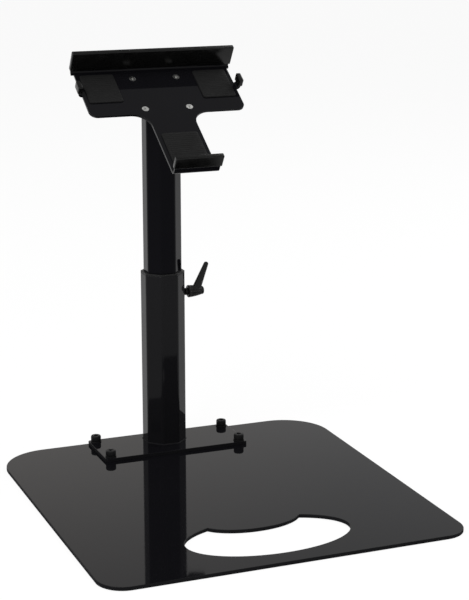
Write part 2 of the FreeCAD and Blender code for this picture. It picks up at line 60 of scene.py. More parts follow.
# Camera, fitted to the base plate's outline in the photograph's frame of 469 by 600 pixels
IMAGE_HEIGHT_PX = 600.0
FOCAL_LENGTH_PX = 1702.8
SENSOR_MM = 36.0
CAMERA_PLACE = Vector((-0.80497, -2.05913, 0.83484))
CAMERA_YAW = 0.38163
CAMERA_PITCH = 0.24727
CAMERA_ROLL = 0.00057
CAMERA_REACH = 100.0

# Floor, and softboxes that face the lower part of the stand
FLOOR_SIZE = 120.0
FLOOR_DROP = 0.2 * MM
FLOOR_ALBEDO = 0.9
FLOOR_GLOW = 0.9
LAMP_TARGET = Vector((0.0, 0.0, 0.2))
KEY_PLACE = Vector((-2.0, -1.2, 3.0))
KEY_SIZE = 2.4
KEY_POWER = 95.0
FILL_PLACE = Vector((2.4, 0.6, 2.4))
FILL_SIZE = 2.0
FILL_POWER = 45.0

# Surroundings: the height of a direction with its brightness, and a warm glow behind the stand
SKY_STOPS = ((0.0, 0.95), (0.165, 0.95), (0.33, 0.7), (0.41, 0.6), (0.7, 0.46))
GLOW_DIRECTION = Vector((0.12, 0.95, 0.2))
GLOW_COLOUR = (1.0, 0.82, 0.66, 1.0)
GLOW_STRENGTH = 0.2
GLOW_EDGE = 0.94

# Paint: colours, gloss as a span of roughness, and how strong the orange peel is
PAINT_BLACK = (0.0037, 0.0036, 0.0045, 1.0)
# Edge colour: partly worn, thin paint, partly a painted highlight along rounded edges.
PAINT_EDGE_WEAR_AND_HIGHLIGHT = (0.009, 0.009, 0.0095, 1.0)
PAINT_DUST = (0.03, 0.03, 0.032, 1.0)
PAINT_SPECULAR = 0.1
PAINT_GLOSS = (0.03, 0.075)
PAINT_PEEL = 0.12
PLAIN_TINT = (1.0, 1.0, 1.0, 1.0)
SHEET_EDGE_ROUND = 0.5 * MM
CUT_EDGE_ROUGHNESS = 0.85
# The post's wider edge radius also spreads the painted edge highlight over its rounded corners.
POST_EDGE_ROUND = 3.5 * MM
POST_PEEL = 0.1
# Painted light: the outer post is a lighter copy of the black paint, to brighten its facets.
OUTER_POST_LIT_BLACK = (0.0055, 0.0054, 0.0062, 1.0)
OUTER_POST_SPECULAR = 0.085
# Painted shade: the inner post is a darker copy of the black paint, and its tint dims its straight-on reflection.
INNER_POST_SHADED_BLACK = (0.0018, 0.0017, 0.0026, 1.0)
INNER_POST_SPECULAR = 0.14
INNER_POST_SHADE_TINT = (0.3, 0.3, 0.32, 1.0)
WELD_EDGE_ROUND = 0.1 * MM
WELD_PEEL = 0.3
WELD_GLOSS = (0.7, 0.85)

# Marks in the paint: a scale is in features per metre, and a mark fades in over its span of values
PEEL_SCALE = 420
PEEL_HEIGHT = 0.02 * MM
SMUDGE_SCALE = 9
SMUDGE_SPAN = (0.35, 0.75)
# These marks break up the lighter edges, which are partly wear and partly a painted highlight.
WEAR_AND_HIGHLIGHT_SCALE = 55
WEAR_AND_HIGHLIGHT_SHARE = (0.35, 1.0)
SPECK_SCALE = 1700
SPECK_SPAN = (0.68, 0.76)
PATCH_SCALE = 14
PATCH_SPAN = (0.45, 0.75)
DUST_SHARE = 0.6
UPWARD_SPAN = (0.3, 0.9)
EDGE_SAMPLES = 6
EDGE_SPAN = (0.995, 0.93)
MIDDLE_SPAN = (0.3, 0.7)

# Marks in the other finishes
DRIFT_SCALE = 60
GRAIN_STRENGTH = 0.35
UNEVEN_SCALE = 160
MARK_SCALE = 5200
MARK_STRENGTH = 0.2
MARK_HEIGHT = 0.01 * MM
PLASTIC_DARK = (0.005, 0.005, 0.0052, 1.0)
PLASTIC_LIGHT = (0.009, 0.009, 0.0092, 1.0)
PLASTIC_GRAIN_SCALE = 3200
PLASTIC_GRAIN_HEIGHT = 0.05 * MM

# Flange screws, with insets from the head's radius and drops from its top
SCREW_SIDES = 120
SHANK_RADIUS = 4.0 * MM
SHANK_CHAMFER = 0.9 * MM
KNURL_COUNT = 40
KNURL_DEPTH = 0.28 * MM
KNURL_START = 1.08 * MM
KNURL_END_DROP = 1.71 * MM
HEAD_FOOT_INSET = 0.9 * MM
HEAD_FOOT_HEIGHT = 0.63 * MM
HEAD_SHOULDER_DROP = 1.08 * MM
HEAD_ROUND_DROP = 0.315 * MM
HEAD_ROUND_INSET = 0.675 * MM
HEAD_TOP_INSET = 1.44 * MM
SOCKET_FLATS = 6.0 * MM
SOCKET_DEPTH = 4.0 * MM
SOCKET_RIM_RADIUS = 3.66 * MM
SOCKET_CHAMFER = 0.3 * MM

# Cradle nuts, with the corners turned off to a little over the flats
NUT_BORE_RADIUS = 2.55 * MM
NUT_BORE_CHAMFER = 0.4 * MM
NUT_CHAMFER = 0.45 * MM
NUT_TURNED_SHARE = 1.03

# Clamp stud
THREAD_PITCH = 1.25 * MM
THREAD_DEPTH = 0.68 * MM
THREAD_FLANK_POWER = 0.8
THREAD_STEPS_PER_TURN = 10
STUD_RADIUS = 4.0 * MM
STUD_END_INSET = 0.952 * MM
STUD_TEETH = 20
STUD_TOOTH_TIP = 5.5 * MM
STUD_TOOTH_DEPTH = 0.7 * MM
STUD_TOOTH_LENGTH = 4.0 * MM
STUD_TOOTH_CHAMFER = 0.3 * MM
STUD_NECK_RADIUS = 4.5 * MM
STUD_NECK_LENGTH = 7.2 * MM
STUD_COLLAR_RADIUS = 5.25 * MM
STUD_COLLAR_LENGTH = 4.5 * MM
STUD_COLLAR_CHAMFER = 0.5 * MM

# Clamp lever
HUB_LENGTH = 25.0 * MM
HUB_INNER_RADIUS = 9.4 * MM
HUB_OUTER_RADIUS = 5.8 * MM
HUB_BULGE = 0.6 * MM
HUB_INNER_ROUND = 1.8 * MM
HUB_NOSE_ROUND = 2.4 * MM
HUB_SLICES = 100
HUB_SIDES = 144
FLUTE_COUNT = 12
FLUTE_RADIUS = 2.2 * MM
FLUTE_DEPTH = 1.1 * MM
FLUTE_START = 1.92 * MM
FLUTE_FADE = 1.6 * MM
ARM_ROOT = Vector((0.0, 0.0, 12.7)) * MM
ARM_TIP = Vector((-42.4, 0.0, 30.8)) * MM
ARM_ROOT_WIDTH = 13.6 * MM
ARM_TIP_WIDTH = 6.5 * MM
ARM_FLATNESS = 0.74
ARM_SQUARENESS = 2.4
ARM_LEAST_TIP_SHARE = 0.02
ARM_SLICES = 48
ARM_SIDES = 72
LEVER_VOXEL = 0.28 * MM
SOFTEN_FACTOR = 0.5
SOFTEN_ROUNDS = 7
BORE_CLEARANCE = 0.12 * MM
BORE_OVERRUN = 1.0 * MM
BORE_SIDES = 64
WEB_START = 11.25 * MM
WEB_END = 13.25 * MM
WEB_HOLE_RADIUS = 2.15 * MM
SPRING_BORE_RADIUS = 3.8 * MM

# Lever spring
SPRING_TURNS = 4.5
SPRING_WIRE = 0.7 * MM
SPRING_RADIUS = 2.85 * MM
SPRING_CLOSING = 0.08
SPRING_STEPS_PER_TURN = 40
SPRING_SIDES = 12

# Foot weld
POST_FLATS = 60.0 * MM
POST_CORNER = 5.0 * MM
WELD_SPACING = 0.45 * MM
WELD_CORNER_STEPS = 5
WELD_SECTION_POINTS = 9
WELD_RIPPLE_PITCH = 2.3 * MM
WELD_RIPPLE = 0.14
WELD_UNEVEN = 0.03
WELD_HOLLOW = 2.4
WELD_ROOT = 0.3 * MM
WELD_SEED = 7

# Rubber covers and pads
LIP_THICKNESS = 3.0 * MM
COVER_WALL = 2.0 * MM
COVER_END_WALL = 2.0 * MM
COVER_ROUND = 1.5 * MM
SLOT_CLEARANCE = 0.02 * MM
SLOT_ROUND = 0.3 * MM
ROUND_SEGMENTS = 5
PAD_RIB_PITCH = 4.0 * MM
PAD_RIB_HEIGHT = 0.55 * MM
PAD_CORNER = 4.0 * MM
PAD_ROUND = 0.9 * MM
PAD_ROUND_STEPS = (0.0, 0.12, 0.3, 0.6, 1.0)
PAD_STEP_ALONG = 0.5 * MM
PAD_STEP_ACROSS = 1.5 * MM
PAD_LEAST_STEPS = 8


# Frames of the cradle and of the clamp

def frame_at(place, x_axis, z_axis):
    """Matrix of a frame with its origin at a place and two of its axes given."""
    axes = Matrix((x_axis, z_axis.cross(x_axis), z_axis)).transposed().to_4x4()
    return Matrix.Translation(place) @ axes


mounts = {mount["name"]: mount for mount in frame["record"]["mounts"]}
joints = {joint["name"]: joint for joint in frame["joints"]}
rest = mounts["cradle_rest"]
CRADLE = frame_at(Vector(rest["pos_m"]), Vector((1, 0, 0)), Vector(rest["axis"]).normalized())
CLAMP = Matrix.Translation(Vector(joints["lever_turn"]["pos_m"])) @ Matrix.Rotation(math.pi / 2, 4, "Y")


def points_of(node, place):
    """Points of a CAD node in a frame of its own."""
    inverse = place.inverted()
    return [inverse @ vertex.co for vertex in nodes[node].data.vertices]


def box_of(points):
    """Lowest and highest corner of the box round some points."""
    low = Vector([min(point[axis] for point in points) for axis in range(3)])
    high = Vector([max(point[axis] for point in points) for axis in range(3)])
    return low, high


def extent(node, place=Matrix.Identity(4)):
    """Lowest and highest corner of a CAD node in a frame of its own."""
    return box_of(points_of(node, place))


def four_extents(node, place=Matrix.Identity(4)):
    """Boxes of the four solids of a node that stand at the corners of a rectangle."""
    points = points_of(node, place)
    low, high = box_of(points)
    middle = (low + high) / 2
    corners = {}
    for point in points:
        corners.setdefault((point.x > middle.x, point.y > middle.y), []).append(point)
    return [box_of(corners[corner]) for corner in sorted(corners)]


# Material nodes

def add_node(tree, kind, inputs, **settings):
    """A new node with its settings. Each input takes a value, or is linked to a socket."""
    node = tree.nodes.new(kind)
    for name, value in settings.items():
        setattr(node, name, value)
    for key, value in inputs.items():
        if isinstance(value, bpy.types.NodeSocket):
            tree.links.new(value, node.inputs[key])
        else:
            node.inputs[key].default_value = value
    return node


def new_material(name):
    """A material without nodes, and its tree."""
    material = bpy.data.materials.new(name)
    material.use_nodes = True
    material.node_tree.nodes.clear()
    return material, material.node_tree


def end_in(tree, kind, inputs):
    """A new shader becomes the surface of its material."""
    shader = add_node(tree, kind, inputs)
    add_node(tree, "ShaderNodeOutputMaterial", {"Surface": shader.outputs[0]})


def object_place(tree):
    return add_node(tree, "ShaderNodeTexCoord", {}).outputs["Object"]


def surface_normal(tree):
    return add_node(tree, "ShaderNodeNewGeometry", {}).outputs["Normal"]


def noise(tree, place, scale, detail):
    inputs = {"Vector": place, "Scale": scale, "Detail": detail}
    return add_node(tree, "ShaderNodeTexNoise", inputs).outputs["Fac"]


def mapped(tree, value, source, target=(0.0, 1.0)):
    """A value moved from one span to another, and held within it."""
    inputs = {
        "Value": value,
        "From Min": source[0],
        "From Max": source[1],
        "To Min": target[0],
        "To Max": target[1],
    }
    return add_node(tree, "ShaderNodeMapRange", inputs).outputs["Result"]


def mixed(tree, factor, first, second):
    """A colour between two others."""
    inputs = {"Factor": factor, "A": first, "B": second}
    return add_node(tree, "ShaderNodeMix", inputs, data_type="RGBA").outputs["Result"]


def calculated(tree, operation, first, second):
    return add_node(tree, "ShaderNodeMath", {0: first, 1: second}, operation=operation).outputs[0]


def likeness(tree, first, second):
    """Dot product of two directions."""
    node = add_node(tree, "ShaderNodeVectorMath", {0: first, 1: second}, operation="DOT_PRODUCT")
    return node.outputs["Value"]


def bumped(tree, height, strength, distance, normal=None):
    inputs = {"Height": height, "Strength": strength, "Distance": distance}
    if normal is not None:
        inputs["Normal"] = normal
    return add_node(tree, "ShaderNodeBump", inputs).outputs["Normal"]


# Finishes

def rounded_edges(tree, radius):
    """Normal with edges rounded by a radius, and 1 at those edges."""
    bevel = add_node(tree, "ShaderNodeBevel", {"Radius": radius}, samples=EDGE_SAMPLES)
    rounded = bevel.outputs["Normal"]
    return rounded, mapped(tree, likeness(tree, rounded, surface_normal(tree)), EDGE_SPAN)


def dust(tree, place, upward):
    """Share of dust: specks in patches, on faces that look up."""
    specks = mapped(tree, noise(tree, place, SPECK_SCALE, detail=1.0), SPECK_SPAN)
    patches = mapped(tree, noise(tree, place, PATCH_SCALE, detail=3.0), PATCH_SPAN)
    settled = mapped(tree, upward, UPWARD_SPAN, (0.0, DUST_SHARE))
    return calculated(tree, "MULTIPLY", calculated(tree, "MULTIPLY", specks, patches), settled)


def gloss_paint(name, edge_round, peel=PAINT_PEEL, gloss=PAINT_GLOSS, black=PAINT_BLACK,
                specular=PAINT_SPECULAR, tint=PLAIN_TINT, side_roughness=0.0):
    """Gloss black paint: faint orange peel, smudges, edges lighter as thin paint and a painted highlight, and dust
    on faces that look up.

    Faces that stand upright are at least as rough as side_roughness. A dark tint paints shade on what is mirrored
    straight on, and leaves the gloss at a slant.
    """
    material, tree = new_material(name)
    place = object_place(tree)
    upward = add_node(tree, "ShaderNodeSeparateXYZ", {0: surface_normal(tree)}).outputs["Z"]
    rounded_normal, edges = rounded_edges(tree, edge_round)
    # Lighter edges: partly thin, worn paint, partly a painted highlight.
    wear_and_highlight = mapped(tree, noise(tree, place, WEAR_AND_HIGHLIGHT_SCALE, detail=3.0), MIDDLE_SPAN, WEAR_AND_HIGHLIGHT_SHARE)
    worn_and_highlit = mixed(tree, calculated(tree, "MULTIPLY", edges, wear_and_highlight), black, PAINT_EDGE_WEAR_AND_HIGHLIGHT)
    smudges = mapped(tree, noise(tree, place, SMUDGE_SCALE, detail=4.0), SMUDGE_SPAN, gloss)
    dull_sides = mapped(tree, upward, UPWARD_SPAN, (side_roughness, 0.0))
    ripple = noise(tree, place, PEEL_SCALE, detail=1.0)
    end_in(tree, "ShaderNodeBsdfPrincipled", {
        "Base Color": mixed(tree, dust(tree, place, upward), worn_and_highlit, PAINT_DUST),
        "Roughness": calculated(tree, "MAXIMUM", smudges, dull_sides),
        "Normal": bumped(tree, ripple, peel, PEEL_HEIGHT, rounded_normal),
        "Specular IOR Level": specular,
        "Specular Tint": tint,
    })
    return material


def moulded(name, dark, light, roughness, grain_scale, grain_height, specular):
    """Moulded plastic or rubber: a fine grain, and tone and gloss that drift over the piece."""
    material, tree = new_material(name)
    place = object_place(tree)
    drift = noise(tree, place, DRIFT_SCALE, detail=4.0)
    grain = noise(tree, place, grain_scale, detail=2.0)
    end_in(tree, "ShaderNodeBsdfPrincipled", {
        "Base Color": mixed(tree, drift, dark, light),
        "Roughness": mapped(tree, drift, MIDDLE_SPAN, roughness),
        "Normal": bumped(tree, grain, GRAIN_STRENGTH, grain_height),
        "Specular IOR Level": specular,
    })
    return material


def plated(name, dark, light, roughness, metallic, specular):
    """Plated or blackened steel: fine turning marks and a finish that is a little uneven."""
    material, tree = new_material(name)
    place = object_place(tree)
    uneven = noise(tree, place, UNEVEN_SCALE, detail=5.0)
    marks = noise(tree, place, MARK_SCALE, detail=1.0)
    end_in(tree, "ShaderNodeBsdfPrincipled", {
        "Base Color": mixed(tree, uneven, dark, light),
        "Roughness": mapped(tree, uneven, MIDDLE_SPAN, roughness),
        "Normal": bumped(tree, marks, MARK_STRENGTH, MARK_HEIGHT),
        "Metallic": metallic,
        "Specular IOR Level": specular,
    })
    return material


plate_paint = gloss_paint("plate_black_paint", SHEET_EDGE_ROUND, side_roughness=CUT_EDGE_ROUGHNESS)
cover_rubber = moulded(
    "dipped_black_rubber", dark=(0.0018, 0.0018, 0.0018, 1.0), light=(0.0034, 0.0034, 0.0033, 1.0),
    roughness=(0.16, 0.28), grain_scale=900, grain_height=0.02 * MM, specular=0.2)
finishes = {
    "black_paint": gloss_paint("gloss_black_paint", SHEET_EDGE_ROUND),
    "black_steel": plated(
        "black_oxide_steel", dark=(0.004, 0.004, 0.0042, 1.0), light=(0.009, 0.009, 0.0094, 1.0),
        roughness=(0.42, 0.56), metallic=0.0, specular=0.13),
    "zinc_steel": plated(
        "zinc_plated_steel", dark=(0.46, 0.46, 0.45, 1.0), light=(0.62, 0.62, 0.6, 1.0),
        roughness=(0.24, 0.4), metallic=1.0, specular=0.5),
    "black_plastic": moulded(
        "matte_black_plastic", PLASTIC_DARK, PLASTIC_LIGHT, roughness=(0.42, 0.6),
        grain_scale=PLASTIC_GRAIN_SCALE, grain_height=PLASTIC_GRAIN_HEIGHT, specular=0.17),
    "black_rubber": moulded(
        "black_rubber", dark=(0.0035, 0.0035, 0.0036, 1.0), light=(0.007, 0.007, 0.0069, 1.0),
        roughness=(0.62, 0.85), grain_scale=2400, grain_height=0.06 * MM, specular=0.13),
}
own_finishes = {
    "base_plate": plate_paint,
    "foot_flange": plate_paint,
    "foot_weld": gloss_paint("weld_black_paint", WELD_EDGE_ROUND, WELD_PEEL, WELD_GLOSS),
    # The outer post's lighter black is painted light.
    "outer_post": gloss_paint(
        "outer_post_lit_paint", POST_EDGE_ROUND, POST_PEEL, black=OUTER_POST_LIT_BLACK, specular=OUTER_POST_SPECULAR),
    # The inner post's darker black and dark tint are painted shade.
    "inner_post": gloss_paint(
        "inner_post_shaded_paint", POST_EDGE_ROUND, POST_PEEL, black=INNER_POST_SHADED_BLACK, specular=INNER_POST_SPECULAR,
        tint=INNER_POST_SHADE_TINT),
    "lever_handle": moulded(
        "satin_black_plastic", PLASTIC_DARK, PLASTIC_LIGHT, roughness=(0.26, 0.4),
        grain_scale=PLASTIC_GRAIN_SCALE, grain_height=PLASTIC_GRAIN_HEIGHT, specular=0.15),
    "front_cover": cover_rubber,
    "rear_cover": cover_rubber,
    "left_cover": cover_rubber,
    "right_cover": cover_rubber,
}


def give_finish(obj, node, slot):
    """The object takes the CAD node's own finish, or else the finish of its slot."""
    obj.data.materials.clear()
    obj.data.materials.append(own_finishes.get(node, finishes[slot]))


# Objects and modifiers

def add_object(name, data):
    obj = bpy.data.objects.new(name, data)
    scene.collection.objects.link(obj)
    return obj


def object_from(name, vertices, faces, place=Matrix.Identity(4)):
    """An object made of vertices and faces, with its faces turned outwards."""
    mesh = bpy.data.meshes.new(name)
    mesh.from_pydata([place @ Vector(vertex) for vertex in vertices], [], faces)
    mesh.validate()
    work = bmesh.new()
    work.from_mesh(mesh)
    bmesh.ops.recalc_face_normals(work, faces=work.faces)
    work.to_mesh(mesh)
    work.free()
    return add_object(name, mesh)


def smooth(obj, crease):
    """Smooth shading, apart from edges that turn by more than the crease's degrees."""
    obj.data.shade_smooth()
    obj.data.set_sharp_from_angle(angle=math.radians(crease))
    return obj


def apply_modifiers(obj):
    """The modifiers' result becomes the object's mesh."""
    evaluated = obj.evaluated_get(bpy.context.evaluated_depsgraph_get())
    mesh = bpy.data.meshes.new_from_object(evaluated)
    obj.modifiers.clear()
    obj.data = mesh


def cut_out(obj, tool):
    """Cuts another closed object out of the object, and removes the other one."""
    cut = obj.modifiers.new("cut", "BOOLEAN")
    cut.operation = "DIFFERENCE"
    cut.solver = "EXACT"
    cut.object = tool
    bpy.context.view_layer.update()
    apply_modifiers(obj)
    bpy.data.objects.remove(tool)


def dress(obj, body, slot, replaced):
    """A piece takes its finish, rides on its body and stands for its CAD node."""
    give_finish(obj, replaced, slot)
    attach(obj, body)
    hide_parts(replaced)


# Shapes as vertices and faces

def ring_faces(rings, sides, closed=False):
    """Faces between rings of points that follow each other. With closed, the last ring meets the first."""
    faces = []
    for ring in range(rings if closed else rings - 1):
        base, following = ring * sides, (ring + 1) % rings * sides
        for side in range(sides):
            beside = (side + 1) % sides
            faces.append((base + side, base + beside, following + beside, following + side))
    return faces


def end_faces(rings, sides):
    """Faces that close the first and the last ring."""
    return [tuple(reversed(range(sides))), tuple(range((rings - 1) * sides, rings * sides))]


def turned(rings, sides, through=False):
    """A turned form: rings of (height, radius), where a radius may depend on the angle.

    Its ends are closed, or with through it closes on its first ring and so has a hole along its axis.
    """
    vertices = []
    for height, radius in rings:
        for side in range(sides):
            angle = 2 * math.pi * side / sides
            reach = radius(angle) if callable(radius) else radius
            vertices.append((reach * math.cos(angle), reach * math.sin(angle), height))
    faces = ring_faces(len(rings), sides, closed=through)
    if not through:
        faces += end_faces(len(rings), sides)
    return vertices, faces


def moved(shape, place):
    """A shape's vertices and faces, taken to a frame."""
    vertices, faces = shape
    return [place @ Vector(vertex) for vertex in vertices], faces


def joined(shapes):
    """Several shapes as one set of vertices and faces."""
    vertices, faces = [], []
    for own_vertices, own_faces in shapes:
        start = len(vertices)
        vertices += own_vertices
        faces += [tuple(start + index for index in face) for face in own_faces]
    return vertices, faces


def copies_in(shape, boxes):
    """Copies of an upright shape, each on the middle of a box."""
    middles = [(low + high) / 2 for low, high in boxes]
    return joined([moved(shape, Matrix.Translation((middle.x, middle.y, 0))) for middle in middles])


def hexagon(flats):
    """Radius of a hexagon at an angle, with a corner at angle 0."""
    def radius(angle):
        off = (angle + math.pi / 6) % (math.pi / 3) - math.pi / 6
        return flats / 2 / math.cos(math.pi / 6 - abs(off))
    return radius


def waved(radius, count, depth):
    """Radius with a number of small round ridges."""
    return lambda angle: radius - depth * (0.5 - 0.5 * math.cos(count * angle))


def round_drop(distance, radius):
    """How far a rounded edge has dropped at a distance from its rim."""
    if distance >= radius:
        return 0.0
    return radius - math.sqrt(max(radius ** 2 - (radius - distance) ** 2, 0.0))


def clamped(value):
    return max(0.0, min(1.0, value))


# Fasteners

def flange_screws():
    """Socket screws with knurled heads."""
    boxes = four_extents("flange_screws")
    low, high = boxes[0]
    seat = extent("flange_washers")[1].z
    radius = (high.x - low.x) / 2
    knurl = waved(radius, KNURL_COUNT, KNURL_DEPTH)
    socket = hexagon(SOCKET_FLATS)
    rings = [
        (low.z, SHANK_RADIUS - SHANK_CHAMFER),
        (low.z + SHANK_CHAMFER, SHANK_RADIUS),
        (seat, SHANK_RADIUS),
        (seat, radius - HEAD_FOOT_INSET),
        (seat + HEAD_FOOT_HEIGHT, radius - KNURL_DEPTH),
        (seat + KNURL_START, knurl),
        (high.z - KNURL_END_DROP, knurl),
        (high.z - HEAD_SHOULDER_DROP, radius - KNURL_DEPTH),
        (high.z - HEAD_ROUND_DROP, radius - HEAD_ROUND_INSET),
        (high.z, radius - HEAD_TOP_INSET),
        (high.z, SOCKET_RIM_RADIUS),
        (high.z - SOCKET_CHAMFER, socket),
        (high.z - SOCKET_DEPTH, socket),
    ]
    obj = object_from("knurled_screws", *copies_in(turned(rings, SCREW_SIDES), boxes))
    dress(smooth(obj, crease=32), "base", "black_steel", "flange_screws")


def cradle_nuts():
    """Hexagon nuts with chamfered corners, under the head plate."""
    boxes = four_extents("cradle_nuts", CRADLE)
    low, high = boxes[0]
    flats = high.y - low.y
    flank = hexagon(flats)

    def chamfered(angle):
        return min(flank(angle), flats / 2 * NUT_TURNED_SHARE)

    rings = [
        (low.z, NUT_BORE_RADIUS + NUT_BORE_CHAMFER),
        (low.z, chamfered),
        (low.z + NUT_CHAMFER, flank),
        (high.z - NUT_CHAMFER, flank),
        (high.z, chamfered),
        (high.z, NUT_BORE_RADIUS + NUT_BORE_CHAMFER),
        (high.z - NUT_BORE_CHAMFER, NUT_BORE_RADIUS),
        (low.z + NUT_BORE_CHAMFER, NUT_BORE_RADIUS),
    ]
    nuts = copies_in(turned(rings, SCREW_SIDES, through=True), boxes)
    obj = object_from("chamfered_nuts", *nuts, place=CRADLE)
    dress(smooth(obj, crease=30), "mast", "zinc_steel", "cradle_nuts")


# Clamp

def thread(height):
    """Radius of the stud's thread at a height, by the angle."""
    def radius(angle):
        phase = (height / THREAD_PITCH - angle / (2 * math.pi)) % 1.0
        return STUD_RADIUS - THREAD_DEPTH * abs(2 * phase - 1) ** THREAD_FLANK_POWER
    return radius


def clamp_stud():
    """Threaded stud with a collar, a toothed head and a plain neck."""
    start = extent("clamp_stud", CLAMP)[0].z
    threaded = -STUD_COLLAR_LENGTH - start
    steps = int(threaded / THREAD_PITCH * THREAD_STEPS_PER_TURN)
    heights = [start + threaded * step / steps for step in range(1, steps)]
    tooth = waved(STUD_TOOTH_TIP, STUD_TEETH, STUD_TOOTH_DEPTH)
    rings = [(start, STUD_RADIUS - STUD_END_INSET)] + [(height, thread(height)) for height in heights] + [
        (-STUD_COLLAR_LENGTH, STUD_RADIUS - THREAD_DEPTH),
        (-STUD_COLLAR_LENGTH, STUD_COLLAR_RADIUS - STUD_COLLAR_CHAMFER),
        (-STUD_COLLAR_LENGTH + STUD_COLLAR_CHAMFER, STUD_COLLAR_RADIUS),
        (-STUD_COLLAR_CHAMFER, STUD_COLLAR_RADIUS),
        (0.0, STUD_COLLAR_RADIUS - STUD_COLLAR_CHAMFER),
        (0.0, STUD_TOOTH_TIP - STUD_TOOTH_DEPTH),
        (STUD_TOOTH_CHAMFER, tooth),
        (STUD_TOOTH_LENGTH, tooth),
        (STUD_TOOTH_LENGTH, STUD_NECK_RADIUS),
        (STUD_TOOTH_LENGTH + STUD_NECK_LENGTH, STUD_NECK_RADIUS),
    ]
    obj = object_from("threaded_stud", *turned(rings, SCREW_SIDES), place=CLAMP)
    dress(smooth(obj, crease=50), "stud", "black_steel", "clamp_stud")


def fluted(body, share):
    """Radius of a round body at an angle, with a share of the flutes' full depth."""
    step = 2 * math.pi / FLUTE_COUNT

    def radius(angle):
        off = abs(angle % step - step / 2) * body
        groove = math.sqrt(max(FLUTE_RADIUS ** 2 - off ** 2, 0.0)) - (FLUTE_RADIUS - FLUTE_DEPTH)
        return body - share * max(groove, 0.0)
    return radius


def hub():
    """Fluted barrel that bulges a little and tapers outwards, with rounded ends."""
    rings = []
    for index in range(HUB_SLICES + 1):
        share = index / HUB_SLICES
        height = HUB_LENGTH * share
        from_end = min(height, HUB_LENGTH - height)
        body = HUB_INNER_RADIUS + (HUB_OUTER_RADIUS - HUB_INNER_RADIUS) * share
        body += HUB_BULGE * math.sin(math.pi * share)
        body -= round_drop(from_end, HUB_INNER_ROUND if share < 0.5 else HUB_NOSE_ROUND)
        rings.append((height, fluted(body, clamped((from_end - FLUTE_START) / FLUTE_FADE))))
    return turned(rings, HUB_SIDES)


def oval(half_width, half_depth):
    """Radius of a slightly squared oval at an angle."""
    def radius(angle):
        across = abs(math.cos(angle) / half_width) ** ARM_SQUARENESS
        deep = abs(math.sin(angle) / half_depth) ** ARM_SQUARENESS
        return (across + deep) ** (-1 / ARM_SQUARENESS)
    return radius


def arm():
    """Tapered arm with a rounded tip, from its root in the hub."""
    length = (ARM_TIP - ARM_ROOT).length
    root_radius, tip_radius = ARM_ROOT_WIDTH / 2, ARM_TIP_WIDTH / 2
    rings = []
    for index in range(ARM_SLICES + 1):
        share = index / ARM_SLICES
        waist = root_radius + (tip_radius - root_radius) * share
        from_tip = length * (1 - share)
        if from_tip < tip_radius:
            waist *= max(math.sqrt(1 - (1 - from_tip / tip_radius) ** 2), ARM_LEAST_TIP_SHARE)
        rings.append((length * share, oval(waist, waist * ARM_FLATNESS)))
    along = (ARM_TIP - ARM_ROOT).normalized()
    across = Vector((along.z, 0, -along.x))
    return moved(turned(rings, ARM_SIDES), frame_at(ARM_ROOT, across, along))


def lever_bore():
    """Room in the lever for the stud's teeth and neck, the screw and the spring."""
    return turned([
        (-BORE_OVERRUN, STUD_TOOTH_TIP + BORE_CLEARANCE),
        (STUD_TOOTH_LENGTH, STUD_TOOTH_TIP + BORE_CLEARANCE),
        (STUD_TOOTH_LENGTH, STUD_NECK_RADIUS + BORE_CLEARANCE),
        (WEB_START, STUD_NECK_RADIUS + BORE_CLEARANCE),
        (WEB_START, WEB_HOLE_RADIUS),
        (WEB_END, WEB_HOLE_RADIUS),
        (WEB_END, SPRING_BORE_RADIUS),
        (HUB_LENGTH + BORE_OVERRUN, SPRING_BORE_RADIUS),
    ], BORE_SIDES)


def lever_handle():
    """Hub and arm blended into one moulding and bored."""
    obj = object_from("clamp_lever", *joined([hub(), arm()]), place=CLAMP)
    remesh = obj.modifiers.new("blend", "REMESH")
    remesh.mode = "VOXEL"
    remesh.voxel_size = LEVER_VOXEL
    soften = obj.modifiers.new("soften", "SMOOTH")
    soften.factor = SOFTEN_FACTOR
    soften.iterations = SOFTEN_ROUNDS
    apply_modifiers(obj)
    cut_out(obj, object_from("lever_bore", *lever_bore(), place=CLAMP))
    dress(smooth(obj, crease=45), "lever", "black_plastic", "lever_handle")


def lever_spring():
    """Compression spring with closed ends."""
    low, high = extent("lever_spring", CLAMP)
    start, length = low.z + SPRING_WIRE / 2, high.z - low.z - SPRING_WIRE
    steps = int(SPRING_TURNS * SPRING_STEPS_PER_TURN)
    upward = Vector((0, 0, 1))
    vertices = []
    for step in range(steps + 1):
        share = step / steps
        eased = share - SPRING_CLOSING * math.sin(2 * math.pi * share)
        angle = 2 * math.pi * SPRING_TURNS * share
        outward = Vector((math.cos(angle), math.sin(angle), 0))
        centre = outward * SPRING_RADIUS + upward * (start + length * eased)
        for side in range(SPRING_SIDES):
            turn = 2 * math.pi * side / SPRING_SIDES
            offset = outward * math.cos(turn) + upward * math.sin(turn)
            vertices.append(centre + offset * SPRING_WIRE / 2)
    faces = ring_faces(steps + 1, SPRING_SIDES) + end_faces(steps + 1, SPRING_SIDES)
    obj = object_from("closed_spring", vertices, faces, place=CLAMP)
    dress(smooth(obj, crease=38), "stud", "zinc_steel", "lever_spring")
    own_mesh(obj)


# Foot weld

